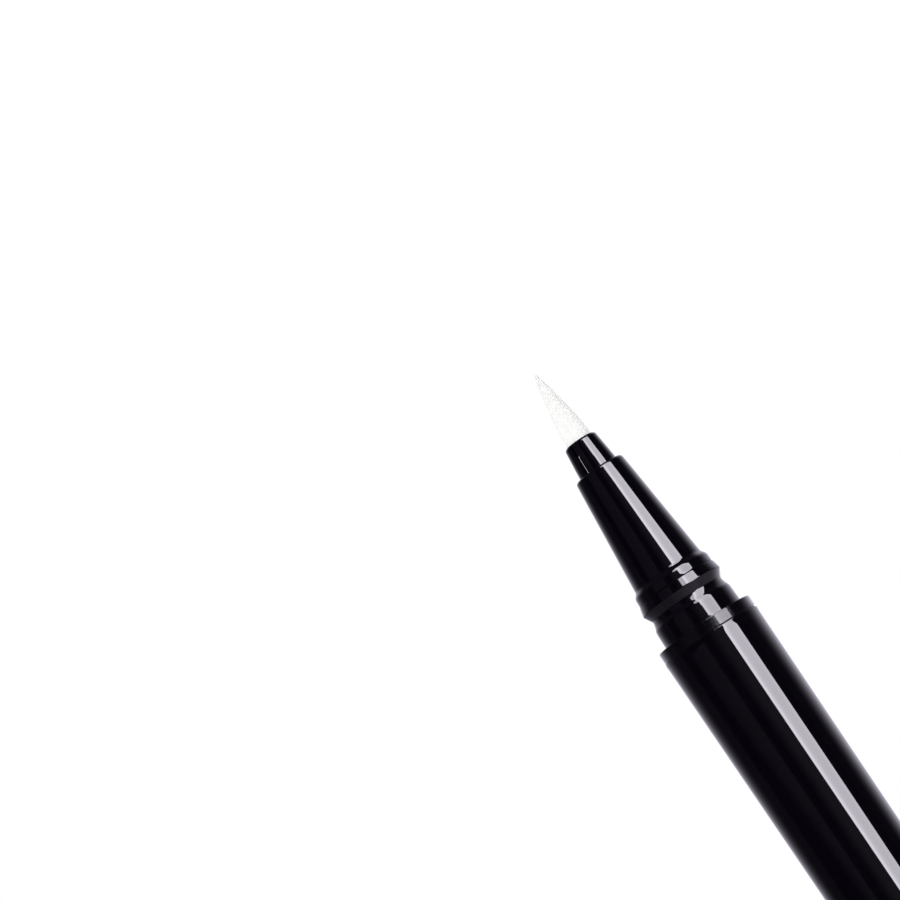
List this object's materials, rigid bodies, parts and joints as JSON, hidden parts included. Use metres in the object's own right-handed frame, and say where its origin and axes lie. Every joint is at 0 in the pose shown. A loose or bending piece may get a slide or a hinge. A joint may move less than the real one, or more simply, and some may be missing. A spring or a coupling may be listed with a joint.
{
  "type": "brush-tip liquid eyeliner pen",
  "caption": "Slim round liquid eyeliner pen, cap off: glossy black barrel with snap neck, nose cone, nozzle and pointed white brush; inner tank, comb collector, wick and mixing ball.",
  "frame": {"origin": "centre of the flat tail face that the pen stands on", "axes": "+Z along the pen's axis from the tail to the brush; the air slots lie 60 and 240 degrees round from +X"},
  "size_m": [0.0108, 0.0108, 0.1236],
  "materials": {
    "gloss_black": "high-gloss moulded black",
    "satin_black": "slightly satin moulded black",
    "brush_fibre": "fine white synthetic bristle",
    "natural_plastic": "natural translucent moulding",
    "wick_fibre": "bonded fibre",
    "seal_rubber": "matt black rubber",
    "steel": "polished steel"
  },
  "bodies": {
    "pen": {"tail_plug": "gloss_black", "barrel": "gloss_black", "collar_ring": "satin_black", "neck_sleeve": "gloss_black", "nose_cone": "gloss_black", "tip_nozzle": "gloss_black", "brush_tip": "brush_fibre", "brush_retainer": "natural_plastic", "feed_wick": "wick_fibre", "ink_collector": "natural_plastic", "collector_seal": "seal_rubber", "tank_stopper": "natural_plastic", "ink_tank": "natural_plastic"},
    "ball": {"mixing_ball": "steel"}
  },
  "joints": [
    {"name": "ball_travel", "type": "slide", "parent": "pen", "child": "ball", "axis": [0, 0, 1], "range_m": [0, 0.062]}
  ]
}
